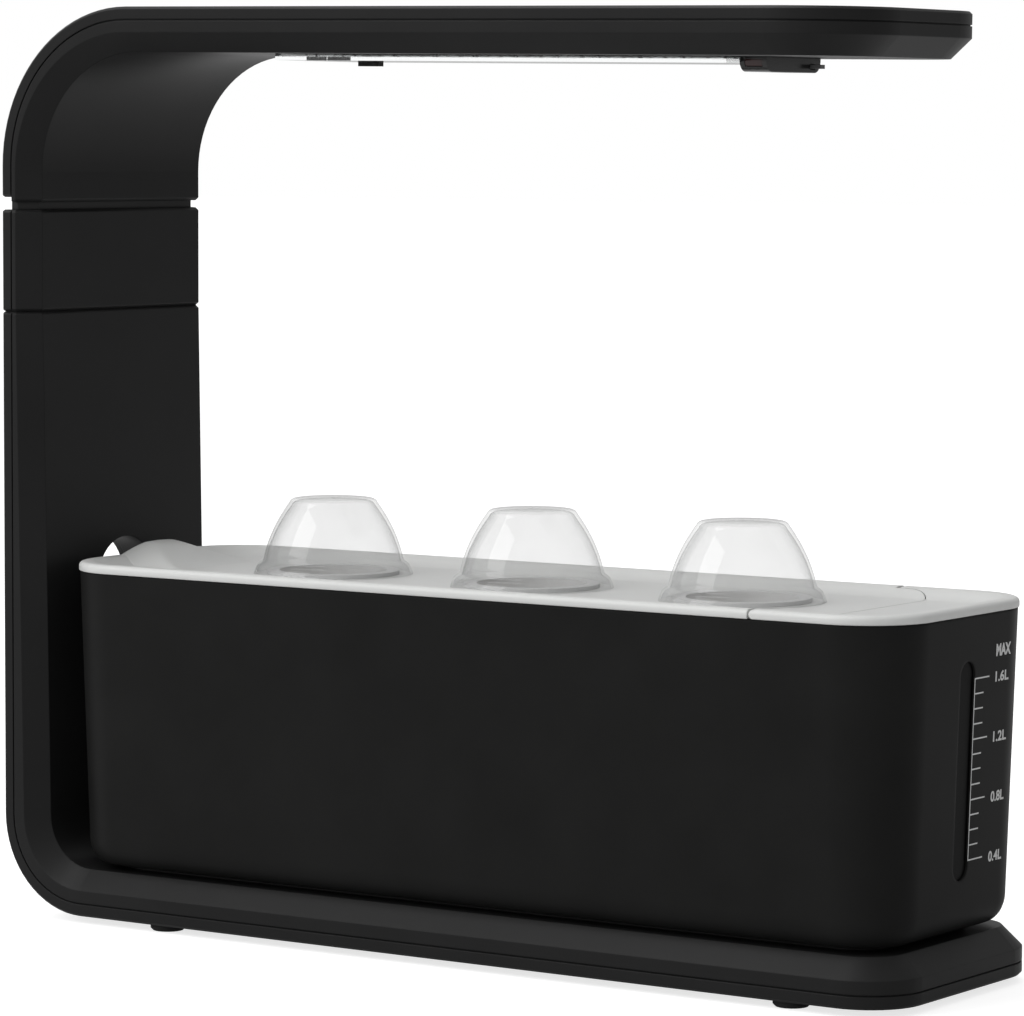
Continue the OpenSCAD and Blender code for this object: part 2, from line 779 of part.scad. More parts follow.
// two leads from the plug round the bend to the light board
module arm_leads() {
    s = tongue_s0 + tongue_t/2;
    r = arm_p[1] + arm_p[3];
    x_turn = x_back + r;
    z_turn = stand_h - r;
    end_x = lens_x0 + 6;
    // angle at which the lead leaves the plug
    rise = asin((plug_top + lead_d/8 - z_turn)/(r - s));
    color("#8c1d1d") {
        for (sy = [-1, 1]) translate([0, sy*strip_y*0.5, 0]) {
            translate([x_turn, 0, z_turn]) rotate([90, 0, 0]) rotate([0, 0, 90 + splice_turn - arm_tilt])
                rotate_extrude(angle = 90 - splice_turn + arm_tilt - rise)
                    translate([r - s, 0]) circle(d = lead_d, $fn = 24);
            on_arm() {
                // splice sleeve over the two ends of the lead
                translate([x_turn - sleeve_l/2, 0, stand_h - s]) rotate([0, 90, 0])
                    cylinder(h = sleeve_l, d = sleeve_d, $fn = 24);
                translate([x_turn + sleeve_l/4, 0, stand_h - s]) rotate([0, 90, 0])
                    cylinder(h = end_x + lead_d - x_turn - sleeve_l/4, d = lead_d, $fn = 24);
                translate([end_x, 0, board_z0 + board_t])
                    cylinder(h = stand_h - s - board_z0 - board_t, d = lead_d*0.8, $fn = 24);
            }
        }
        on_arm() for (sy = [-1, 1])
            translate([pod_x0 + pod_l/2, sy*lead_way/2, pod_board_z + pod_board_t])
                cylinder(h = board_z0 - pod_board_z - pod_board_t, d = lead_d*0.8, $fn = 24);
    }
}

module light_board() {
    color("#e9e9e4") on_arm() difference() {
        translate([lens_x0 - board_over, -board_w/2, board_z0])
            cube([lens_l + 2*board_over, board_w, board_t]);
        for (x = board_screw_places)
            translate([x[0], x[1], board_z0 - 1]) cylinder(h = board_t + 2, d = board_screw_d + 0.2, $fn = 36);
    }
}

module light_chips() {
    color("#f4ecc0") on_arm() for (i = [0:led_cols - 1], j = [0:led_rows - 1])
        translate([lens_x0 + cell_wall/2 + (i + 0.5)*cell_dx - led_s/2,
                   -lens_w/2 + cell_wall/2 + (j + 0.5)*cell_dy - led_s/2, led_z0])
            cube([led_s, led_s, led_t]);
}

module board_screws() {
    color(steel) on_arm() for (p = board_screw_places) translate([p[0], p[1], 0]) difference() {
        union() {
            translate([0, 0, board_z0 - board_screw_l])
                cylinder(h = board_screw_l + board_t, d = board_screw_d, $fn = 36);
            translate([0, 0, board_z0 + board_t]) cylinder(h = 1, d = board_screw_d*1.9, $fn = 36);
        }
        for (a = [0, 90])
            translate([0, 0, board_z0 + board_t + 1]) rotate([0, 0, a]) cube([2.2, 0.5, 1], center = true);
    }
}

// clear cover with a cell in front of each light source
module lamp_lens() {
    z0 = lamp_z - lens_drop;
    color(clear) on_arm() difference() {
        union() {
            translate([lens_x0, -lens_w/2, z0]) cube([lens_l, lens_w, board_z0 - z0]);
            translate([lens_x0 - lens_flange, -lens_w/2 - lens_flange, lamp_z + wall])
                cube([lens_l + 2*lens_flange, lens_w + 2*lens_flange, lens_flange_t]);
        }
        for (i = [0:led_cols - 1], j = [0:led_rows - 1])
            translate([lens_x0 + cell_wall + i*cell_dx, -lens_w/2 + cell_wall + j*cell_dy, z0 + lens_face])
                cube([cell_dx - cell_wall, cell_dy - cell_wall, board_z0 - z0]);
    }
}

// two hooks that hold the far edge of the lamp cover
module lens_clips() {
    color(dark) on_arm() for (x = [lens_x0, lens_x1 - 2*clip_l])
        translate([x, 0, 0]) {
            translate([0, lens_w/2 + lens_gap, lamp_z - lens_drop - clip_t])
                cube([clip_l, clip_t, lens_drop + clip_t]);
            translate([0, lens_w/2 - 1, lamp_z - lens_drop - clip_t])
                cube([clip_l, 1 + lens_gap + clip_t, clip_t]);
        }
}

// ---- control pod under the tip of the arm ----

pod_board_t = 1;
pod_pad_t = 0.6;
pod_board_z = lamp_z - pod_board_t - pod_pad_t;
window_x = pod_x0 + pod_wall + 0.6;
window_l = pod_l - 2*pod_wall - 1.2;
window_low = lamp_z - 2.9;
window_h = 2.1;
window_sunk = 0.2;

module pod_profile(o, r) {
    w = pod_w/2 - o;
    z0 = pod_z0 + o;
    intersection() {
        union() {
            translate([-w, z0 + r]) square([2*w, r]);
            translate([-w + r, z0]) square([2*(w - r), 2*r]);
            for (sy = [-1, 1])
                translate([sy*(w - r), z0 + r]) circle(r = r, $fn = 48);
        }
        translate([-w, z0]) square([2*w, lamp_z - z0]);
    }
}

module control_pod() {
    color(dark) on_arm() {
        difference() {
            translate([pod_x0, 0, 0]) rotate([90, 0, 90]) linear_extrude(pod_l) pod_profile(0, pod_r);
            translate([pod_x0 + pod_wall, 0, 0]) rotate([90, 0, 90])
                linear_extrude(pod_l - 2*pod_wall) {
                    pod_profile(pod_wall, pod_r - pod_wall);
                    translate([-pod_w/2 + pod_wall, pod_z0 + pod_r]) square([pod_w - 2*pod_wall, pod_h]);
                }
            // window at the near end and opening for the button
            translate([window_x, -pod_w/2 - 1, window_low]) cube([window_l, pod_wall + 2, window_h]);
            translate([pod_x1 - pod_wall - 1, button_y - button_w/2 - button_gap,
                       button_z - button_h/2 - button_gap])
                cube([pod_wall + 2, button_w + 2*button_gap, button_h + 2*button_gap]);
        }
        for (sy = [-1, 1]) {
            translate([pod_x0 + pod_l/2, sy*pod_peg_y, lamp_z - pod_pad_t])
                cylinder(h = wall + pod_pad_t, d = pod_peg_d, $fn = 36);
            translate([pod_x0 + pod_wall/2, sy*pod_peg_y - 0.75*pod_peg_d, lamp_z - pod_pad_t])
                cube([pod_l - pod_wall, 1.5*pod_peg_d, pod_pad_t]);
        }
    }
}

// dark pane that follows the pod's wall in its opening
module indicator_window() {
    color("#3a0d0d") on_arm() translate([window_x, 0, 0]) rotate([90, 0, 90]) linear_extrude(window_l)
        intersection() {
            difference() {
                pod_profile(window_sunk, pod_r - window_sunk);
                pod_profile(pod_wall + window_sunk, pod_r - pod_wall - window_sunk);
            }
            translate([-pod_w/2, window_low]) square([pod_w/4, window_h]);
        }
}

// circuit board in the pod, with the switch behind the button
module control_board() {
    x0 = pod_x0 + pod_wall + 0.2;
    l = pod_l - 2*pod_wall - 0.4;
    w = 2*(pod_peg_y - pod_peg_d);
    color("#2d5a33") on_arm() {
        translate([x0, -w/2, pod_board_z]) cube([l, w, pod_board_t]);
        translate([x0, w/2 - 2, button_z - button_h/2])
            cube([switch_x1 - x0, button_y - w/2 + 2, pod_board_z - button_z + button_h/2]);
        translate([x0 + 1, -w/3, pod_board_z - 1]) cube([l/2, w/3, 1]);
    }
}

module push_button() {
    color("#3b3b3e") on_arm() {
        translate([pod_x1 - pod_wall, button_y - button_w/2, button_z - button_h/2])
            cube([button_stem, button_w, button_h]);
        translate([pod_x1 - pod_wall - button_flange, button_y - button_w/2 - button_lip, button_z - button_h/2])
            cube([button_flange, button_w + 2*button_lip, button_h]);
    }
}

// ---- tank ----

// slab with four round corners between two heights, outline drawn in by i0 and i1
module rr_layer(x0, x1, hw, r, z0, z1, i0, i1) {
    rotate([90, 0, 90]) translate([0, 0, x0 + r])
        linear_extrude(x1 - x0 - 2*r)
            polygon([[-hw + i0, z0], [hw - i0, z0], [hw - i1, z1], [-hw + i1, z1]]);
    rotate([90, 0, 0]) translate([0, 0, -(hw - r)])
        linear_extrude(2*(hw - r))
            polygon([[x0 + i0, z0], [x1 - i0, z0], [x1 - i1, z1], [x0 + i1, z1]]);
    for (x = [x0 + r, x1 - r], sy = [-1, 1])
        translate([x, sy*(hw - r), z0]) cylinder(h = z1 - z0, r1 = r - i0, r2 = r - i1);
}

module tank_layer(z0, z1, i0, i1) {
    rr_layer(tank_x0, tank_x1, tank_w/2, tank_r, z0, z1, i0, i1);
}

function lean_in(z) = (tank_top - z)*draft;

module tank_solid(o, z_floor, z_lid) {
    h = tank_round;
    z1 = z_floor + h;
    z2 = z_floor + h*0.45;
    z3 = z_floor + h*0.15;
    tank_layer(z1, z_lid, o + lean_in(z1), o + lean_in(z_lid));
    tank_layer(z2, z1, o + lean_in(z2) + h*0.16, o + lean_in(z1));
    tank_layer(z3, z2, o + lean_in(z3) + h*0.42, o + lean_in(z2) + h*0.16);
    tank_layer(z_floor, z3, o + lean_in(z_floor) + h*0.72, o + lean_in(z3) + h*0.42);
}

// places its children on the tank's end face: x outward from the face, z measured down the slope
module on_tank_end() {
    translate([tank_x1, 0, tank_top]) rotate([0, tank_draft, 0]) children();
}

module window_slot(w, x0, x1, grow) {
    z0 = window_z0 - tank_top - grow;
    z1 = window_z1 - tank_top + grow;
    translate([x0, -w/2, z0 + w/2]) cube([x1 - x0, w, z1 - z0 - w]);
    for (z = [z0 + w/2, z1 - w/2])
        translate([x0, 0, z]) rotate([0, 90, 0]) cylinder(h = x1 - x0, d = w, $fn = 48);
}

module tank() {
    color(black) difference() {
        tank_solid(0, tank_z0, tank_top);
        tank_solid(tank_wall, tank_z0 + tank_wall, tank_top + 1);
        on_tank_end() window_slot(window_w, -tank_skin - 1, 1, 0);
    }
}

module level_window() {
    color([0.16, 0.16, 0.17, 0.8]) on_tank_end() {
        window_slot(window_w - 0.1, -tank_skin - 0.1, -window_recess, -0.05);
        window_slot(window_w + 3, -tank_skin - 1, -tank_skin, 1.5);
    }
}

// ---- planting deck and refill flap ----

module deck_layer(z0, z1, i0, i1) {
    rr_layer(deck_x0, deck_x1, deck_w/2, deck_r, z0, z1, i0, i1);
}

// profile of the hollow slope inside the rim, as shares of its height and width
dish_rise = [0, 0.3, 0.65, 1];
dish_in = [1, 0.53, 0.2, 0];

// whole top as one dished plate with its rim, before the flap is cut from it
module deck_blank() {
    edge = 1;
    difference() {
        union() {
            deck_layer(tank_top, rim_z - edge, 0, 0);
            deck_layer(rim_z - edge, rim_z, 0, edge);
            deck_layer(plate_z0, tank_top + eps, skirt_inset, skirt_inset);
        }
        for (k = [0:2])
            deck_layer(dish_z + rim_h*dish_rise[k], dish_z + rim_h*dish_rise[k + 1],
                       rim_w + dish_slope*dish_in[k], rim_w + dish_slope*dish_in[k + 1]);
        translate([0, 0, rim_z - eps]) deck_layer(0, 1, rim_w, rim_w);
    }
}

// bell outline over 0 to 1 with its crest at grip_crest
function bell(t) = (1 - cos(360*pow(t, ln(0.5)/ln(grip_crest))))/2;

// cross-section of the grip, as shares of its half width and its height
grip_side = [[1, 0], [0.94, 0.05], [0.48, 0.88], [0.4, 1], [0.26, 1.06]];

// raised grip: bell-shaped along the deck, with a flat top and sloping sides across it
module grip() {
    h = rim_h + grip_h;
    n = 20;
    w = grip_w/2;
    m = len(grip_side) - 1;
    translate([deck_x0 + 0.4, 0, dish_z]) intersection() {
        rotate([90, 0, 0]) linear_extrude(grip_w + 2, center = true)
            polygon([for (i = [0:n]) [grip_l*i/n, h*pow(bell(i/n), 0.9)]]);
        rotate([90, 0, 90]) linear_extrude(grip_l)
            polygon(concat([for (q = grip_side) [-q[0]*w, q[1]*h]],
                           [for (k = [m:-1:0]) [grip_side[k][0]*w, grip_side[k][1]*h]]));
    }
}

module basket_holes(d) {
    for (x = basket_x)
        translate([x, 0, plate_z0 - 1]) cylinder(h = deck_t + 3, d = d);
}

module deck() {
    cut = flap_gap;
    color(deck_grey) difference() {
        union() {
            deck_blank();
            grip();
        }
        translate([seam_x - cut, -big/2, 0]) cube([big, big, big]);
        for (sy = [-1, 1])
            flap_corner_piece(sy, cut);
        // room for the flap's side arms
        for (sy = [-1, 1])
            translate([hinge_x - hinge_r - flap_heel_gap, sy > 0 ? arm_y0 - cut : -big, tank_top - eps])
                cube([big, big - arm_y0 + cut, 20]);
        basket_holes(basket_hole);
    }
    color(deck_grey) hinge_pins(hinge_d/2, hinge_l);
}

// fills the corner between the flap's seam and a side arm, grown by a gap for its cut-out
module flap_corner_piece(sy, gap) {
    r = flap_corner;
    difference() {
        translate([seam_x - r, sy > 0 ? arm_y0 - r : -arm_y0 - 1, tank_top])
            cube([r + 1, r + 1, rim_h + 1]);
        translate([seam_x - r, sy*(arm_y0 - r), tank_top - 1]) cylinder(h = rim_h + 3, r = r - gap);
    }
}

// two pins, or with a larger radius their bores, from the deck's sides into the flap's arms
module hinge_pins(r, l) {
    for (sy = [-1, 1])
        translate([hinge_x, sy*(arm_y0 - flap_gap - 1), hinge_z]) rotate([-90*sy, 0, 0])
            cylinder(h = l + flap_gap + 1, r = r, $fn = 36);
}

module refill_flap() {
    color(deck_grey) difference() {
        union() {
            intersection() {
                deck_blank();
                translate([seam_x, -big/2, 0]) cube([big, big, big]);
            }
            for (sy = [-1, 1]) {
                intersection() {
                    deck_blank();
                    translate([hinge_x, sy > 0 ? arm_y0 : -big - arm_y0, tank_top])
                        cube([seam_x - hinge_x + 1, big, rim_h + 1]);
                }
                intersection() {
                    deck_blank();
                    flap_corner_piece(sy, 0);
                }
                translate([hinge_x, sy*(arm_y0 + rim_w/2), hinge_z]) rotate([90, 0, 0])
                    cylinder(h = rim_w, r = hinge_r, center = true);
            }
        }
        hinge_pins(hinge_d/2 + hinge_gap, hinge_l + 0.3);
    }
}

// ---- growing baskets ----

basket_top_r = basket_d/2;
basket_foot_r = basket_foot_d/2;

module basket(i) {
    w = basket_wall;
    color(deck_grey) translate([basket_x[i], 0, dish_z]) difference() {
        union() {
            cylinder(h = flange_t, d = flange_d);
            translate([0, 0, -basket_h]) cylinder(h = basket_h + eps, r1 = basket_foot_r, r2 = basket_top_r);
        }
        translate([0, 0, -basket_h + w])
            cylinder(h = basket_h + flange_t, r1 = basket_foot_r - w, r2 = basket_top_r - w);
        for (k = [0:slot_n - 1]) rotate([0, 0, k*360/slot_n])
            translate([4, -slot_w/2, -basket_h - 1]) cube([basket_top_r, slot_w, basket_h*0.55]);
    }
}

// sponge with a planting hole, standing on the basket's floor
module sponge(i) {
    w = basket_wall + sponge_gap;
    slope = (basket_top_r - basket_foot_r)/basket_h;
    r0 = basket_foot_r - w;
    r1 = r0 + slope*sponge_h;
    color("#6b5a43") translate([basket_x[i], 0, dish_z - basket_h + basket_wall]) difference() {
        cylinder(h = sponge_h, r1 = r0, r2 = r1);
        translate([0, 0, sponge_h - seed_depth]) cylinder(h = seed_depth + 1, d = seed_d, $fn = 36);
    }
}

module basket_1() { basket(0); }
module basket_2() { basket(1); }
module basket_3() { basket(2); }
module sponge_1() { sponge(0); }
module sponge_2() { sponge(1); }
module sponge_3() { sponge(2); }

// ---- domes ----

// outer outline of a dome, from its foot to the middle of its top
function dome_line(o) = let (
        rf = dome_d/2, rw = dome_waist_d/2, rt = dome_top_d/2, hf = dome_foot_h, h = dome_h - 1.1 - o)
    concat(
        [[rf - o, 0], [rf - 0.3 - o, 0.7], [(rf + rw)/2 + 0.4 - o, hf - 0.3 - o*0.4],
         [rw + 0.5 - o, hf + 0.5 - o*0.7], [rw - o, hf + 1.2 - o*0.5]],
        [for (k = [1:8]) let (t = k/8)
            [rw - o + (rt - rw)*(0.45*t + 0.55*t*t), hf + 1.2 + (h - hf - 1.2)*t]],
        [[rt - 0.7 - o, h + 0.55], [rt*0.7, h + 0.85], [0, h + 1.1]]);

module dome(i) {
    n = len(dome_line(0));
    inner = dome_line(dome_wall);
    color(clear) translate([basket_x[i], 0, dish_z])
        rotate_extrude($fn = 96)
            polygon(concat(dome_line(0), [for (k = [n - 1:-1:0]) inner[k]]));
}

module dome_1() { dome(0); }
module dome_2() { dome(1); }
module dome_3() { dome(2); }

stand_shell();
stand_cover();
rubber_feet();
base_screws();
column_socket();
column_contacts();
power_inlet();
stand_leads();
extension_shell();
extension_cover();
extension_plug();
extension_contacts();
arm_shell();
arm_cover();
arm_plug();
arm_contacts();
light_board();
light_chips();
board_screws();
lamp_lens();
lens_clips();
control_pod();
control_board();
indicator_window();
arm_leads();
push_button();
tank();
level_window();
deck();
refill_flap();
basket_1();
basket_2();
basket_3();
sponge_1();
sponge_2();
sponge_3();
dome_1();
dome_2();
dome_3();
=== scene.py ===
"""Looks for the countertop hydroponic garden.

Gives the solids their finishes, models deck, flap, grip, tank and domes more finely, prints the
level scale and sets up light and camera. Camera, shaders, lights and stage are in metres, and the
modelled pieces in millimetres up to add_mesh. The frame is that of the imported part: +X from the
column towards the arm's tip, +Z up.
"""

import json
import math

import bmesh
import bpy
from mathutils import Matrix, Vector


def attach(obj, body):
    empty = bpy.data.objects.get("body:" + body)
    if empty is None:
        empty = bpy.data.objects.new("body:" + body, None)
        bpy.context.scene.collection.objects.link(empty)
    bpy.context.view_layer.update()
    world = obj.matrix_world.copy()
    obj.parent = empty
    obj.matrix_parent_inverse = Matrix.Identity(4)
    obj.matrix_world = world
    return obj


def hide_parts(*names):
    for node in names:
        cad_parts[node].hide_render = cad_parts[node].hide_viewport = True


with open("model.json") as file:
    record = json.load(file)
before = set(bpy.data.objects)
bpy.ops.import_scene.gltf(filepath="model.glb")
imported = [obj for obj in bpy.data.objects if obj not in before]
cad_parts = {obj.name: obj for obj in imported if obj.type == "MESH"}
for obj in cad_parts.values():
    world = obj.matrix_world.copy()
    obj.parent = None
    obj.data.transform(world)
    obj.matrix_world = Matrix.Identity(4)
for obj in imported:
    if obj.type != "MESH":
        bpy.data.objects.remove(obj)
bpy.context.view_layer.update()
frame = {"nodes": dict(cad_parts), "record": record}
nodes = frame["nodes"]
MM = 0.001

# ---------------------------------------------------------------- camera

CAMERA_AT = Vector((802.11, -1178.64, 244.18)) * MM
CAMERA_YAW = math.radians(34.1716)
CAMERA_PITCH = math.radians(4.4360)
CAMERA_ROLL = math.radians(0.2035)
FOCAL_PX = 4721.76
IMAGE_W = 1024
SENSOR_MM = 36.0
CLIP_NEAR, CLIP_FAR = 0.05, 50


def make_camera():
    """The photograph's camera: looks to the left of +Y, slightly down."""
    forward = Vector((-math.sin(CAMERA_YAW) * math.cos(CAMERA_PITCH),
                      math.cos(CAMERA_YAW) * math.cos(CAMERA_PITCH),
                      -math.sin(CAMERA_PITCH)))
    right = Vector((math.cos(CAMERA_YAW), math.sin(CAMERA_YAW), 0))
    up = right.cross(forward)
    c, s = math.cos(CAMERA_ROLL), math.sin(CAMERA_ROLL)
    x_axis = c * right + s * up
    y_axis = -s * right + c * up
    data = bpy.data.cameras.new("camera")
    data.sensor_width = SENSOR_MM
    data.lens = FOCAL_PX * SENSOR_MM / IMAGE_W
    data.clip_start = CLIP_NEAR
    data.clip_end = CLIP_FAR
    camera = bpy.data.objects.new("camera", data)
    turn = Matrix((x_axis, y_axis, -forward)).transposed().to_4x4()
    camera.matrix_world = Matrix.Translation(CAMERA_AT) @ turn
    bpy.context.scene.collection.objects.link(camera)
    bpy.context.scene.camera = camera


# ---------------------------------------------------------------- node trees

# Sockets of the Mix node in its colour mode
MIX_FACTOR, MIX_A, MIX_B, MIX_RESULT = 0, 6, 7, 2


class NodeTree:
    """A small builder for the node tree of a material or a world."""

    def __init__(self, owner, output):
        owner.use_nodes = True
        self.owner = owner
        self.tree = owner.node_tree
        self.tree.nodes.clear()
        self.out = self.node(output)

    def node(self, kind, values=None, **settings):
        """New node with its properties set, and the values of its free sockets."""
        n = self.tree.nodes.new(kind)
        for key, value in settings.items():
            setattr(n, key, value)
        for key, value in (values or {}).items():
            n.inputs[key].default_value = value
        return n

    def link(self, a, b):
        self.tree.links.new(a, b)

    def surface(self, shader):
        self.link(shader, self.out.inputs["Surface"])

    def coords(self):
        return self.node("ShaderNodeTexCoord").outputs["Object"]

    def noise(self, vector, scale, detail=2.0, rough=0.5):
        n = self.node("ShaderNodeTexNoise", {"Scale": scale, "Detail": detail, "Roughness": rough})
        self.link(vector, n.inputs["Vector"])
        return n.outputs["Fac"]

    def remap(self, value, low, high, from_low=0.3, from_high=0.7):
        n = self.node("ShaderNodeMapRange", {"From Min": from_low, "From Max": from_high,
                                             "To Min": low, "To Max": high})
        self.link(value, n.inputs["Value"])
        return n.outputs["Result"]

    def blend(self, factor, a, b):
        """Mix of two colours."""
        n = self.node("ShaderNodeMix", data_type="RGBA")
        n.inputs[MIX_A].default_value = (*a, 1)
        n.inputs[MIX_B].default_value = (*b, 1)
        self.link(factor, n.inputs[MIX_FACTOR])
        return n.outputs[MIX_RESULT]

    def mix(self, factor, first, second):
        """Mix of two shaders: a factor of 1 gives the second."""
        n = self.node("ShaderNodeMixShader")
        self.link(factor, n.inputs["Fac"])
        self.link(first, n.inputs[1])
        self.link(second, n.inputs[2])
        return n.outputs[0]

    def calculate(self, operation, *operands, clamp=False):
        """Math node over sockets and plain numbers."""
        n = self.node("ShaderNodeMath", operation=operation, use_clamp=clamp)
        for k, operand in enumerate(operands):
            if isinstance(operand, (int, float)):
                n.inputs[k].default_value = operand
            else:
                self.link(operand, n.inputs[k])
        return n.outputs[0]

    def bump(self, height, depth, normal=None):
        n = self.node("ShaderNodeBump", {"Strength": 1.0, "Distance": depth})
        self.link(height, n.inputs["Height"])
        if normal is not None:
            self.link(normal, n.inputs["Normal"])
        return n.outputs["Normal"]

    def principled(self, **values):
        n = self.node("ShaderNodeBsdfPrincipled",
                      {key.replace("_", " "): value for key, value in values.items()})
        self.surface(n.outputs["BSDF"])
        return n


def new_material(name):
    return NodeTree(bpy.data.materials.new(name), "ShaderNodeOutputMaterial")


def shade(color, gain):
    return tuple(c * gain for c in color)


# ---------------------------------------------------------------- materials

CLOUD_SCALE, WIPE_SCALE = 35, 9
SHEEN_SPREAD = 0.05
CLEAR_WIPE_SCALE, DOME_WIPE_SCALE = 60, 70
WIPE_FROM, WIPE_TO = 0.45, 0.75
WIPE_DIM = 0.985
RIPPLE_SCALE, RIPPLE = 120, 0.000004
DOME_TINT = (0.955, 0.955, 0.955)
DOME_MILK = (0.93, 0.94, 0.94, 1)
DOME_HAZE, DOME_EDGE_HAZE = 0.05, 0.22
SCRATCH_SCALE, TARNISH_SCALE, SCRATCH_DEPTH = 900, 250, 0.00001


def plastic(name, color, rough, grain, depth, variation=0.12, specular=0.5, edge=0.0003):
    """Moulded plastic: spark-eroded grain, slightly uneven sheen and tone, softened edges."""
    s = new_material(name)
    at = s.coords()
    cloud = s.noise(at, CLOUD_SCALE, 4)
    wipe = s.noise(at, WIPE_SCALE, 3, 0.65)
    fine = s.noise(at, 1 / grain, 3, 0.6)
    bsdf = s.principled(Specular_IOR_Level=specular)
    tone = s.blend(s.remap(cloud, 0, 1), shade(color, 1 - variation), shade(color, 1 + variation))
    s.link(tone, bsdf.inputs["Base Color"])
    s.link(s.remap(wipe, rough - SHEEN_SPREAD, rough + SHEEN_SPREAD), bsdf.inputs["Roughness"])
    soft_edge = s.node("ShaderNodeBevel", {"Radius": edge}, samples=4)
    s.link(s.bump(fine, depth, soft_edge.outputs["Normal"]), bsdf.inputs["Normal"])
    return s.owner


def clear_plastic(name, tint, rough):
    """Clear plastic with faint moulding ripples and wipe marks."""
    s = new_material(name)
    at = s.coords()
    wipe = s.noise(at, CLEAR_WIPE_SCALE, 4, 0.6)
    bsdf = s.principled(Transmission_Weight=1.0, IOR=1.46)
    s.link(s.remap(wipe, rough, rough + 0.05, WIPE_FROM, WIPE_TO), bsdf.inputs["Roughness"])
    s.link(s.blend(s.remap(wipe, 0, 1), tint, shade(tint, WIPE_DIM)), bsdf.inputs["Base Color"])
    s.link(s.bump(s.noise(at, RIPPLE_SCALE, 2), RIPPLE), bsdf.inputs["Normal"])
    return s.owner


def thin_clear(name):
    """Thin clear shell: light passes straight through, and its edges are milky and mirror more.

    Only front faces mirror, because mirroring back faces turn the edges black.
    """
    s = new_material(name)
    at = s.coords()
    wipe = s.noise(at, DOME_WIPE_SCALE, 4, 0.6)
    glass = s.node("ShaderNodeBsdfTransparent")
    s.link(s.blend(s.remap(wipe, 0, 1), DOME_TINT, shade(DOME_TINT, WIPE_DIM)), glass.inputs["Color"])
    milk = s.node("ShaderNodeBsdfTranslucent", {"Color": DOME_MILK})
    facing = s.node("ShaderNodeLayerWeight", {"Blend": 0.35}).outputs["Facing"]
    milkiness = s.remap(facing, DOME_HAZE, DOME_HAZE + DOME_EDGE_HAZE, 0.35, 1.0)
    clouded = s.mix(milkiness, glass.outputs[0], milk.outputs[0])
    gloss = s.node("ShaderNodeBsdfGlossy")
    s.link(s.remap(wipe, 0.04, 0.09, WIPE_FROM, WIPE_TO), gloss.inputs["Roughness"])
    s.link(s.bump(s.noise(at, RIPPLE_SCALE, 2), RIPPLE), gloss.inputs["Normal"])
    mirror = s.node("ShaderNodeFresnel", {"IOR": 1.45})
    backfacing = s.node("ShaderNodeNewGeometry").outputs["Backfacing"]
    front = s.calculate("SUBTRACT", 1.0, backfacing)
    mirrored = s.calculate("MULTIPLY", mirror.outputs[0], front)
    s.surface(s.mix(mirrored, clouded, gloss.outputs[0]))
    return s.owner


def metal(name, color, rough):
    """Drawn metal with fine scratches."""
    s = new_material(name)
    at = s.coords()
    bsdf = s.principled(Metallic=1.0)
    streaks = s.noise(at, SCRATCH_SCALE, 3, 0.7)
    s.link(s.remap(streaks, rough - 0.08, rough + 0.1), bsdf.inputs["Roughness"])
    tarnish = s.remap(s.noise(at, TARNISH_SCALE), 0, 1)
    s.link(s.blend(tarnish, shade(color, 0.85), color), bsdf.inputs["Base Color"])
    s.link(s.bump(streaks, SCRATCH_DEPTH), bsdf.inputs["Normal"])
    return s.owner


# Grain, its depth and the softened edge are in metres
BLACK = (0.0095, 0.0095, 0.0096)
INNER_BLACK = (0.006, 0.006, 0.006)
PRINT = (0.62, 0.62, 0.62)
LOOKS = (
    (plastic, "stand_black", dict(color=BLACK, rough=0.42, grain=0.00022, depth=0.000012,
                                  specular=0.15, edge=0.0005)),
    (plastic, "tank_black", dict(color=(0.0105, 0.0105, 0.0103), rough=0.45, grain=0.0003,
                                 depth=0.000006, specular=0.06, edge=0.0012)),
    (plastic, "pod_black", dict(color=INNER_BLACK, rough=0.22, grain=0.0003, depth=0.000004,
                                edge=0.0004)),
    (plastic, "deck_grey", dict(color=(0.62, 0.625, 0.615), rough=0.42, grain=0.00025,
                                depth=0.000008, variation=0.02, edge=0.0005)),
    (plastic, "basket_grey", dict(color=(0.6, 0.6, 0.6), rough=0.4, grain=0.00025,
                                  depth=0.000006, variation=0.02)),
    (plastic, "inner_plastic", dict(color=INNER_BLACK, rough=0.5, grain=0.0003, depth=0.00001,
                                    specular=0.3)),
    (plastic, "foot_rubber", dict(color=(0.012, 0.012, 0.012), rough=0.75, grain=0.0004,
                                  depth=0.00002, specular=0.3)),
    (metal, "screw_steel", dict(color=(0.6, 0.61, 0.62), rough=0.3)),
    (metal, "contact_brass", dict(color=(0.78, 0.57, 0.24), rough=0.22)),
    (plastic, "lead_insulation", dict(color=(0.4, 0.03, 0.03), rough=0.4, grain=0.0005,
                                      depth=0.00001)),
    (plastic, "board_white", dict(color=(0.8, 0.8, 0.78), rough=0.35, grain=0.0005,
                                  depth=0.000006, variation=0.03)),
    (plastic, "board_green", dict(color=(0.03, 0.16, 0.06), rough=0.3, grain=0.0005,
                                  depth=0.000006)),
    (plastic, "chip_cream", dict(color=(0.9, 0.83, 0.5), rough=0.3, grain=0.0004,
                                 depth=0.000004, variation=0.04)),
    (clear_plastic, "clear_cover", dict(tint=(0.97, 0.98, 0.98), rough=0.03)),
    (thin_clear, "clear_dome", {}),
    (plastic, "smoked_window", dict(color=(0.001, 0.001, 0.001), rough=0.4, grain=0.0008,
                                    depth=0.000002, specular=0.05)),
    (plastic, "window_red", dict(color=(0.03, 0.003, 0.003), rough=0.08, grain=0.0008,
                                 depth=0.000002)),
    (plastic, "button_grey", dict(color=(0.12, 0.12, 0.12), rough=0.3, grain=0.0003,
                                  depth=0.000006)),
    (plastic, "grow_sponge", dict(color=(0.5, 0.49, 0.46), rough=0.95, grain=0.0012,
                                  depth=0.0004, specular=0.1)),
)
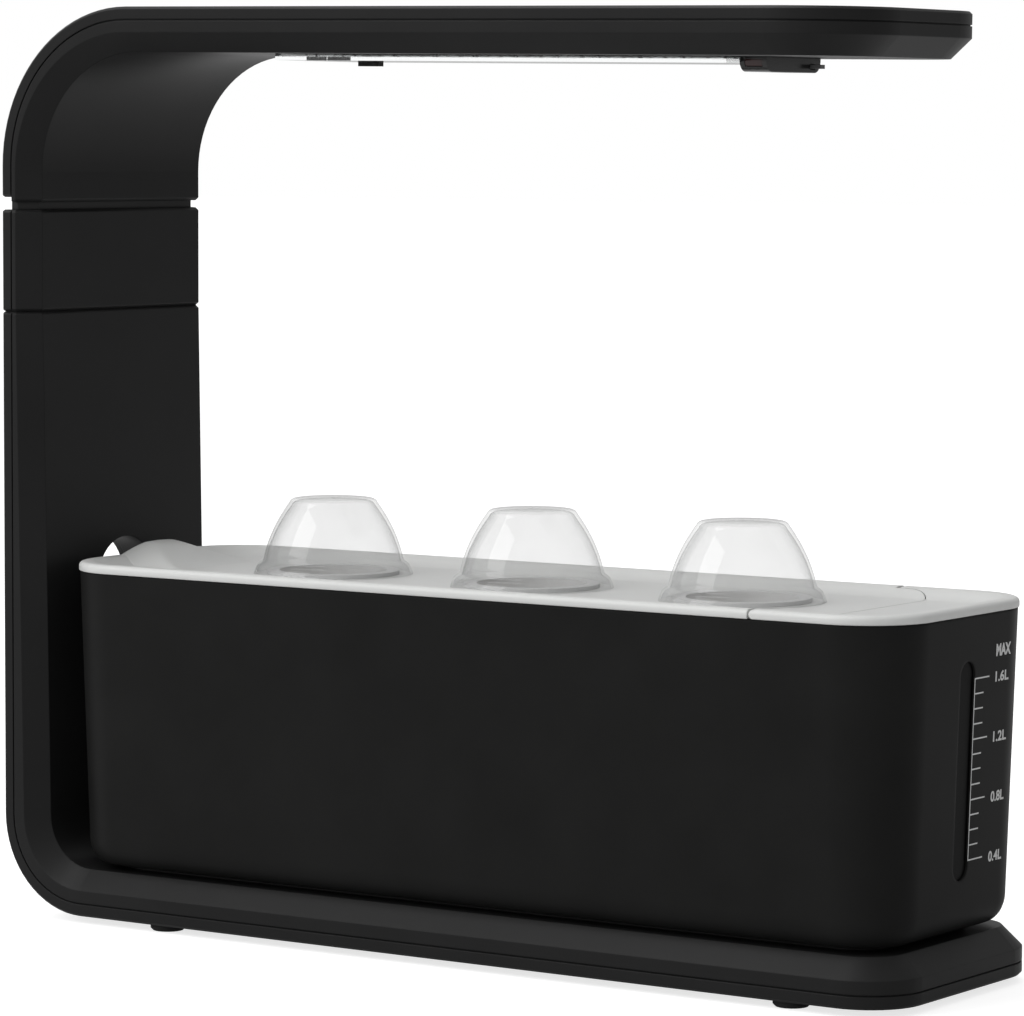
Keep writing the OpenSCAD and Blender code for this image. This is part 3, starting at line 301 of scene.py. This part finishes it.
finish = {slot: maker(slot, **look) for maker, slot, look in LOOKS}
level_print = plastic("level_print", PRINT, rough=0.5, grain=0.0004, depth=0.000004,
                      variation=0.06, edge=0.00005)

for part in frame["record"]["subparts"]:
    node = nodes[part["node"]]
    node.data.materials.clear()
    node.data.materials.append(finish[part["material_slot"]])


# ---------------------------------------------------------------- building meshes, in millimetres

SHARP_ABOVE = 35
MIN_CORNER_R = 0.4
TOOL_OVER = 8
LAP = 1
SKIM = 0.01


def soften(obj, angle):
    """Smooth faces, with edges above an angle in degrees kept sharp."""
    obj.data.polygons.foreach_set("use_smooth", [True] * len(obj.data.polygons))
    obj.data.set_sharp_from_angle(angle=math.radians(angle))


def add_mesh(name, verts, faces, sharp_above=SHARP_ABOVE):
    """New object from points in millimetres."""
    mesh = bpy.data.meshes.new(name)
    mesh.from_pydata([Vector(v) * MM for v in verts], [], faces)
    bm = bmesh.new()
    bm.from_mesh(mesh)
    bmesh.ops.recalc_face_normals(bm, faces=bm.faces)
    bm.to_mesh(mesh)
    bm.free()
    obj = bpy.data.objects.new(name, mesh)
    bpy.context.scene.collection.objects.link(obj)
    soften(obj, sharp_above)
    return obj


def finish_piece(obj, body, slot, *replaced, material=None):
    """Gives a piece its material and its body, and hides the nodes that it stands for."""
    obj.data.materials.clear()
    obj.data.materials.append(material or finish[slot])
    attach(obj, body)
    if replaced:
        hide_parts(*replaced)


def arc(cx, cy, r, start, end, steps):
    return [(cx + r * math.cos(math.radians(start + (end - start) * k / steps)),
             cy + r * math.sin(math.radians(start + (end - start) * k / steps)))
            for k in range(steps + 1)]


def rounded_ring(x0, x1, half_w, r, inset, z, corner_steps=20):
    """Outline of a rounded rectangle drawn in by an inset."""
    r = max(r - inset, MIN_CORNER_R)
    left, right, side = x0 + inset + r, x1 - inset - r, half_w - inset - r
    ring = []
    for cx, cy, start in ((right, side, 0), (left, side, 90), (left, -side, 180), (right, -side, 270)):
        for k in range(corner_steps + 1):
            a = math.radians(start + 90 * k / corner_steps)
            ring.append((cx + r * math.cos(a), cy + r * math.sin(a), z))
    return ring


def loft(name, rings):
    """Closed body through rings with the same number of points."""
    n = len(rings[0])
    verts = [p for ring in rings for p in ring]
    faces = [(i * n + k, i * n + (k + 1) % n, (i + 1) * n + (k + 1) % n, (i + 1) * n + k)
             for i in range(len(rings) - 1) for k in range(n)]
    faces.append(tuple(range(n))[::-1])
    faces.append(tuple((len(rings) - 1) * n + k for k in range(n)))
    return add_mesh(name, verts, faces)


def prism(name, outline, low, high, axis="Z"):
    """Straight body over an outline: (x, y) along Z, (x, z) along Y or (y, z) along X."""
    place = {"Z": lambda a, b, h: (a, b, h),
             "Y": lambda a, b, h: (a, h, b),
             "X": lambda a, b, h: (h, a, b)}[axis]
    return loft(name, [[place(a, b, h) for a, b in outline] for h in (low, high)])


def combine(obj, tool, operation):
    """Boolean of an object with a tool, which is removed."""
    step = obj.modifiers.new("step", "BOOLEAN")
    step.operation = operation
    step.solver = "EXACT"
    step.object = tool
    graph = bpy.context.evaluated_depsgraph_get()
    mesh = bpy.data.meshes.new_from_object(obj.evaluated_get(graph))
    obj.modifiers.clear()
    old = obj.data
    obj.data = mesh
    bpy.data.meshes.remove(old)
    bpy.data.objects.remove(tool)
    return obj


# ---------------------------------------------------------------- deck and flap

DECK_X0, DECK_X1, DECK_HALF_W, DECK_R = -141.35, 160.0, 45.35, 22.0
TANK_TOP = 110.2
BASKET_X = [9.325 + k * 74.4 for k in (-1, 0, 1)]
HOLE_R, HOLE_POINTS = 18.3, 96
SEAM_SHARP_ABOVE = 30

RIM_H, RIM_HALF_H = 2.8, 1.4
SKIRT_IN, SKIRT_DROP = 3.2, 2.4
LIP_R, LIP_MID = 0.35, (0.1, 0.08)
SHOULDER_W = 1.6
CREST_END, SLOPE_START, SLOPE_DROP = 2.6, 3.6, 0.02
SLOPE_W, SLOPE_SKEW, SLOPE_STEPS = 10.2, 0.85, 14

SEAM_X, HINGE_X, ARM_Y, CORNER_R = 127.0, 114.8, 40.05, 10.0
SEAM_GAP, HEEL_GAP = 0.3, 0.6
FLAP_TOOL_HALF_W, FLAP_TOOL_END = 60, 180
FLAP_ARC_STEPS = 16


def deck_blank(name):
    """The whole top with its rounded rim and hollow slope, before the flap is cut from it.

    The profile's points are pairs of the inset from the outline and the height over the tank.
    """
    profile = [(SKIRT_IN, -SKIRT_DROP), (SKIRT_IN, 0), (LIP_R, 0), LIP_MID, (0, LIP_R), (0, RIM_HALF_H)]
    for degrees in range(15, 91, 15):
        a = math.radians(degrees)
        profile.append((SHOULDER_W - SHOULDER_W * math.cos(a), RIM_HALF_H + RIM_HALF_H * math.sin(a)))
    profile += [(CREST_END, RIM_H), (SLOPE_START, RIM_H - SLOPE_DROP)]
    for k in range(1, SLOPE_STEPS + 1):
        t = k / SLOPE_STEPS
        height = RIM_H * (0.5 + 0.5 * math.cos(math.pi * t ** SLOPE_SKEW))
        profile.append((SLOPE_START + SLOPE_W * t, height))
    return loft(name, [rounded_ring(DECK_X0, DECK_X1, DECK_HALF_W, DECK_R, i, TANK_TOP + h)
                       for i, h in profile])


def flap_tool(name, gap):
    """Space of the refill flap with its side arms and round corners, grown by a gap."""
    low, high, far = TANK_TOP - 2 * SKIM, TANK_TOP + TOOL_OVER, FLAP_TOOL_HALF_W
    x, y, r = SEAM_X - gap, ARM_Y - gap, CORNER_R - gap
    field = [(x, -far), (FLAP_TOOL_END, -far), (FLAP_TOOL_END, far), (x, far)]
    tool = prism(name, field, TANK_TOP - TOOL_OVER, high)
    if gap:
        heel = HINGE_X - RIM_HALF_H - HEEL_GAP
        arm = [(heel, low), (SEAM_X + LAP, low), (SEAM_X + LAP, high), (heel, high)]
    else:
        arm = [(SEAM_X + LAP, TANK_TOP - SKIM), (SEAM_X + LAP, TANK_TOP + RIM_H + SKIM)]
        arm += arc(HINGE_X, TANK_TOP + RIM_HALF_H, RIM_HALF_H + SKIM, 90, 270, FLAP_ARC_STEPS)
    corner = [(SEAM_X - CORNER_R, ARM_Y + LAP), (SEAM_X + LAP, ARM_Y + LAP),
              (SEAM_X + LAP, ARM_Y - CORNER_R)]
    corner += arc(SEAM_X - CORNER_R, ARM_Y - CORNER_R, r, 0, 90, FLAP_ARC_STEPS)
    for side in (-1, 1):
        combine(tool, prism("arm", arm, *sorted((side * y, side * far)), axis="Y"), "UNION")
        combine(tool, prism("corner", [(a, side * b) for a, b in corner], low, high), "UNION")
    return tool


def build_deck():
    deck = combine(deck_blank("deck_top"), flap_tool("flap_space", SEAM_GAP), "DIFFERENCE")
    for x in BASKET_X:
        circle = arc(x, 0, HOLE_R, 0, 360 - 360 / HOLE_POINTS, HOLE_POINTS - 1)
        hole = prism("hole", circle, TANK_TOP - TOOL_OVER, TANK_TOP + TOOL_OVER)
        combine(deck, hole, "DIFFERENCE")
    flap = combine(deck_blank("flap_top"), flap_tool("flap_body", 0), "INTERSECT")
    for piece, body, node in ((deck, "deck", "deck"), (flap, "flap", "refill_flap")):
        soften(piece, SEAM_SHARP_ABOVE)
        finish_piece(piece, body, "deck_grey", node)


# ---------------------------------------------------------------- grip

GRIP_L, GRIP_W, GRIP_H = 39.0, 38.0, 7.6
GRIP_CELLS = 60
GRIP_INSET, GRIP_SINK, GRIP_FOOT = 0.4, 0.3, 0.5
GRIP_CREST_AT, GRIP_CREST_POWER = 0.2, 1.3
GRIP_TOP_SHARE, GRIP_SIDE_SHARE, GRIP_CROWN, GRIP_CROWN_MAX = 0.26, 0.74, 0.2, 1.05
GRIP_BLEND, GRIP_LEAST = 7.0, 1e-4
GRIP_SHARP_ABOVE = 60


def grip_across(t):
    """Height share at a share t of the half width: a slightly crowned top and straight sides."""
    if t > GRIP_TOP_SHARE:
        return max(0.0, (1 - t) / GRIP_SIDE_SHARE)
    return min(GRIP_CROWN_MAX, 1 + (GRIP_TOP_SHARE - t) * GRIP_CROWN)


def grip_along(t):
    """Height share at a share t of the length, with the crest nearer to the column."""
    phase = 2 * math.pi * t ** (math.log(0.5) / math.log(GRIP_CREST_AT))
    return ((1 - math.cos(phase)) / 2) ** GRIP_CREST_POWER


def build_grip():
    """Raised grip: a soft hump that runs out flush on the deck."""
    cells, row = GRIP_CELLS, GRIP_CELLS + 1
    base = TANK_TOP - GRIP_SINK
    verts = []
    for i in range(row):
        a = max(grip_along(i / cells), GRIP_LEAST)
        x = DECK_X0 + GRIP_INSET + GRIP_L * (i / cells)
        for j in range(row):
            v = j / cells * 2 - 1
            b = max(grip_across(abs(v)), GRIP_LEAST)
            h = (a ** -GRIP_BLEND + b ** -GRIP_BLEND) ** (-1 / GRIP_BLEND)
            verts.append((x, v * GRIP_W / 2, base + (GRIP_H + GRIP_SINK) * h))
    corners = [i * row + j for i in range(cells) for j in range(cells)]
    faces = [(a, a + row, a + row + 1, a + 1) for a in corners]
    border = (list(range(row)) + [i * row + cells for i in range(1, row)]
              + [cells * row + j for j in range(cells - 1, -1, -1)]
              + [i * row for i in range(cells - 1, 0, -1)])
    start, m = len(verts), len(border)
    verts += [(verts[k][0], verts[k][1], TANK_TOP - GRIP_FOOT) for k in border]
    faces += [(border[k], border[(k + 1) % m], start + (k + 1) % m, start + k) for k in range(m)]
    faces.append(tuple(start + k for k in range(m)))
    finish_piece(add_mesh("deck_grip", verts, faces, GRIP_SHARP_ABOVE), "deck", "deck_grey")


# ---------------------------------------------------------------- tank and level scale

TANK_FOOT, TANK_ROUND_H, TANK_ROUND_IN, TANK_WALL = 18.0, 8.0, 5.8, 2.2
TANK_INSET, TANK_EDGE = 0.4, 0.3
TANK_LEAN = math.tan(math.radians(1.9))
TANK_RINGS_Z = (50, 80)
SLOT_HALF_W, SLOT_LOW, SLOT_HIGH = 4.2, 33.9, 97.1
SLOT_TOOL_X = (150, 170)

SCALE_TOP, SCALE_LOW, SCALE_Y, LINE_W = 91.8, 39.37, 4.3, 0.42
SCALE_STEPS, LONG_EVERY, LONG_MARK, SHORT_MARK = 12, 4, 8.5, 5.3
PRINT_LIFT = 0.05
MAX_MARK = dict(y=16.4, z=97.2, wide=8.8, tall=3.6, bold=0.045)
NUMBER = dict(y=16.5, wide=7.9, tall=3.1, bold=0.03)
NUMBER_DROP = 2.0
LITRES_PER_NUMBER = 0.4


def tank_inset(z):
    """How far the leaning wall stands inside the deck's outline at a height."""
    return TANK_INSET + (TANK_TOP - z) * TANK_LEAN


def build_tank():
    """Water tank with a round foot, open at the top, and the slot of the level window."""
    knee = TANK_FOOT + TANK_ROUND_H
    outer, inner = [], []
    for degrees in range(90, -1, -10):
        a = math.radians(degrees)
        z = knee - TANK_ROUND_H * math.sin(a)
        outer.append((tank_inset(z) + TANK_ROUND_IN * (1 - math.cos(a)), z))
    outer += [(tank_inset(z), z) for z in (*TANK_RINGS_Z, TANK_TOP - TANK_EDGE)]
    outer.append((TANK_INSET + TANK_EDGE, TANK_TOP))
    inner.append((TANK_INSET + TANK_WALL - TANK_EDGE, TANK_TOP))
    inner += [(tank_inset(z) + TANK_WALL, z) for z in (TANK_TOP - TANK_EDGE, *TANK_RINGS_Z[::-1])]
    for degrees in range(0, 91, 15):
        a = math.radians(degrees)
        z = knee + TANK_WALL - TANK_ROUND_H * math.sin(a)
        inner.append((tank_inset(z) + TANK_WALL + TANK_ROUND_IN * (1 - math.cos(a)), z))
    rings = [rounded_ring(DECK_X0, DECK_X1, DECK_HALF_W, DECK_R, i, z) for i, z in outer + inner]
    tank = loft("tank_body", rings)
    slot = (arc(0, SLOT_HIGH - SLOT_HALF_W, SLOT_HALF_W, 0, 180, 24)
            + arc(0, SLOT_LOW + SLOT_HALF_W, SLOT_HALF_W, 180, 360, 24))
    combine(tank, prism("slot", slot, *SLOT_TOOL_X, axis="X"), "DIFFERENCE")
    soften(tank, SEAM_SHARP_ABOVE)
    finish_piece(tank, "tank", "tank_black", "tank")


def tank_end(y, z):
    """Point of the print on the tank's end face."""
    return (DECK_X1 - tank_inset(z) + PRINT_LIFT, y, z)


def level_lines():
    """An upright line and a mark for each step of the scale."""
    verts, faces = [], []

    def box(y0, z0, y1, z1):
        base = len(verts)
        verts.extend(tank_end(y, z) for y, z in ((y0, z0), (y1, z0), (y1, z1), (y0, z1)))
        faces.append((base, base + 1, base + 2, base + 3))

    half = LINE_W / 2
    box(SCALE_Y - half, SCALE_LOW - half, SCALE_Y + half, SCALE_TOP + half)
    for k in range(SCALE_STEPS + 1):
        z = SCALE_LOW + (SCALE_TOP - SCALE_LOW) * k / SCALE_STEPS
        reach = SHORT_MARK if k % LONG_EVERY else LONG_MARK
        box(SCALE_Y + half, z - half, SCALE_Y + reach, z + half)
    return add_mesh("level_lines", verts, faces)


def label(text, y, z, wide, tall, bold):
    """Text on the tank's end, stretched to a width and height."""
    curve = bpy.data.curves.new("mark", "FONT")
    curve.body = text
    curve.offset = bold
    holder = bpy.data.objects.new("mark", curve)
    bpy.context.scene.collection.objects.link(holder)
    graph = bpy.context.evaluated_depsgraph_get()
    mesh = bpy.data.meshes.new_from_object(holder.evaluated_get(graph))
    bpy.data.objects.remove(holder)
    xs = [v.co.x for v in mesh.vertices]
    ys = [v.co.y for v in mesh.vertices]
    x0, y0 = min(xs), min(ys)
    sx, sz = wide / (max(xs) - x0), tall / (max(ys) - y0)
    for vert in mesh.vertices:
        vert.co = Vector(tank_end(y + (vert.co.x - x0) * sx, z + (vert.co.y - y0) * sz)) * MM
    obj = bpy.data.objects.new("level_" + text.replace(".", "_"), mesh)
    bpy.context.scene.collection.objects.link(obj)
    return obj


def build_scale():
    """Printed level scale: a mark every 0.1 litre, a number every 0.4 litre and the highest level."""
    pieces = [level_lines(), label("MAX", **MAX_MARK)]
    for k in (1, 2, 3, 4):
        mark_z = SCALE_LOW + (SCALE_TOP - SCALE_LOW) * (k - 1) / 3
        pieces.append(label(f"{LITRES_PER_NUMBER * k:.1f}L", z=mark_z - NUMBER_DROP, **NUMBER))
    for piece in pieces:
        finish_piece(piece, "tank", "tank_black", material=level_print)


# ---------------------------------------------------------------- domes

# Foot points: radius, height, and the share of the wall by which the inner face lies lower
DOME_FOOT = ((24.8, 0, 0), (24.6, 0.5, 0), (24.2, 1.7, 0), (23.6, 2.9, 0.4), (22.8, 3.6, 0.6),
             (22.05, 4.1, 0.6), (21.7, 4.9, 0.5))
DOME_WAIST_R, DOME_WAIST_H, DOME_SIDE_STEPS = 21.7, 4.9, 14
DOME_TAPER, DOME_STRAIGHT, DOME_BULGED = 8.0, 0.45, 0.55
DOME_SIDE_TOP_R, DOME_SIDE_TOP_H = 13.7, 22.2
DOME_ROUND_R, DOME_ROUND_H, DOME_ROUND_SINK = 2.3, 1.55, 0.2
DOME_CROWN = ((8.0, 1.62), (4.0, 1.75))
DOME_TOP, DOME_WALL = 24.0, 0.8
# The revolved outline leaves a pinhole of this radius in the middle of the top
DOME_PINHOLE_R = 0.3
DOME_STEPS = 128
DOME_SHARP_ABOVE = 50


def dome_outline(wall):
    """Dome from its foot to near the middle of its top, drawn in by a wall."""
    points = [(r - wall, h - wall * share) for r, h, share in DOME_FOOT]
    top = DOME_SIDE_TOP_H - wall
    for k in range(1, DOME_SIDE_STEPS + 1):
        t = k / DOME_SIDE_STEPS
        taper = DOME_TAPER * (DOME_STRAIGHT * t + DOME_BULGED * t * t)
        points.append((DOME_WAIST_R - wall - taper, DOME_WAIST_H + (top - DOME_WAIST_H) * t))
    centre = DOME_SIDE_TOP_R - wall - DOME_ROUND_R
    for degrees in (25, 45, 65, 85):
        a = math.radians(degrees)
        points.append((centre + DOME_ROUND_R * math.cos(a),
                       top - DOME_ROUND_SINK + DOME_ROUND_H * math.sin(a)))
    return points + [(r, top + rise) for r, rise in DOME_CROWN]


def build_domes():
    outline = dome_outline(0) + [(DOME_PINHOLE_R, DOME_TOP), (DOME_PINHOLE_R, DOME_TOP - DOME_WALL)]
    outline += dome_outline(DOME_WALL)[::-1]
    n = len(outline)
    for number, (x, body) in enumerate(zip(BASKET_X, ("dome_a", "dome_b", "dome_c")), 1):
        verts, faces = [], []
        for k in range(DOME_STEPS):
            turn = 2 * math.pi * k / DOME_STEPS
            verts += [(x + r * math.cos(turn), r * math.sin(turn), TANK_TOP + h) for r, h in outline]
            a, b = k * n, (k + 1) % DOME_STEPS * n
            faces += [(a + i, b + i, b + (i + 1) % n, a + (i + 1) % n) for i in range(n)]
        dome = add_mesh(f"dome_shell_{number}", verts, faces, DOME_SHARP_ABOVE)
        finish_piece(dome, body, "clear_dome", f"dome_{number}")


build_deck()
build_grip()
build_tank()
build_scale()
build_domes()


# ---------------------------------------------------------------- stage and light

MIRRORED_SHARE = 0.25
WHITE = (1, 1, 1, 1)
BRIGHT_SIDE = (-0.5, -0.6, 0.62)
WORLD_DIM, WORLD_BRIGHT, WORLD_TURN = 0.1, 0.95, 0.7
FLOOR_GREY, FLOOR_GLOW, FLOOR_HALF = (0.5, 0.5, 0.5, 1), 0.75, 15


def seen_white(s):
    """1 for camera and transmitted rays, and a share for mirrored ones."""
    path = s.node("ShaderNodeLightPath").outputs
    seen = s.calculate("MAXIMUM", path["Is Camera Ray"], path["Is Transmission Ray"])
    return s.calculate("MULTIPLY_ADD", path["Is Glossy Ray"], MIRRORED_SHARE, seen, clamp=True)


def make_world():
    """World that looks white to the camera and through clear plastic, dimmer at the back right."""
    world = bpy.data.worlds.new("world")
    bpy.context.scene.world = world
    s = NodeTree(world, "ShaderNodeOutputWorld")
    towards = s.node("ShaderNodeVectorMath", operation="DOT_PRODUCT")
    towards.inputs[1].default_value = Vector(BRIGHT_SIDE).normalized()
    s.link(s.node("ShaderNodeTexCoord").outputs["Generated"], towards.inputs[0])
    level = s.remap(towards.outputs["Value"], WORLD_DIM, WORLD_BRIGHT, -WORLD_TURN, WORLD_TURN)
    light = s.node("ShaderNodeBackground", {"Color": WHITE})
    s.link(level, light.inputs["Strength"])
    white = s.node("ShaderNodeBackground", {"Color": WHITE, "Strength": 1.0})
    s.surface(s.mix(seen_white(s), light.outputs[0], white.outputs[0]))


def make_floor():
    """Matt floor with a glow that the camera and clear plastic see in full."""
    s = new_material("floor_white")
    matt = s.node("ShaderNodeBsdfDiffuse", {"Color": FLOOR_GREY})
    glow = s.node("ShaderNodeEmission", {"Strength": FLOOR_GLOW})
    both = s.node("ShaderNodeAddShader")
    s.link(matt.outputs[0], both.inputs[0])
    s.link(glow.outputs[0], both.inputs[1])
    s.surface(s.mix(seen_white(s), matt.outputs[0], both.outputs[0]))
    mesh = bpy.data.meshes.new("floor")
    bm = bmesh.new()
    bmesh.ops.create_grid(bm, x_segments=1, y_segments=1, size=FLOOR_HALF)
    bm.to_mesh(mesh)
    bm.free()
    floor = bpy.data.objects.new("floor", mesh)
    mesh.materials.append(s.owner)
    bpy.context.scene.collection.objects.link(floor)


def area_light(name, at, target, size, watts):
    data = bpy.data.lights.new(name, "AREA")
    data.shape = "RECTANGLE"
    data.size, data.size_y = size
    data.energy = watts
    lamp = bpy.data.objects.new(name, data)
    lamp.location = at
    lamp.rotation_euler = (Vector(target) - Vector(at)).to_track_quat("-Z", "Y").to_euler()
    bpy.context.scene.collection.objects.link(lamp)


make_camera()
make_world()
make_floor()
area_light("key_softbox", at=(-0.9, -1.5, 1.3), target=(0, 0, 0.12), size=(1.2, 1.2), watts=13)
area_light("top_softbox", at=(-0.5, 0.0, 1.6), target=(0, 0, 0.1), size=(1.2, 1.0), watts=12)
bpy.context.scene.view_settings.view_transform = "Standard"
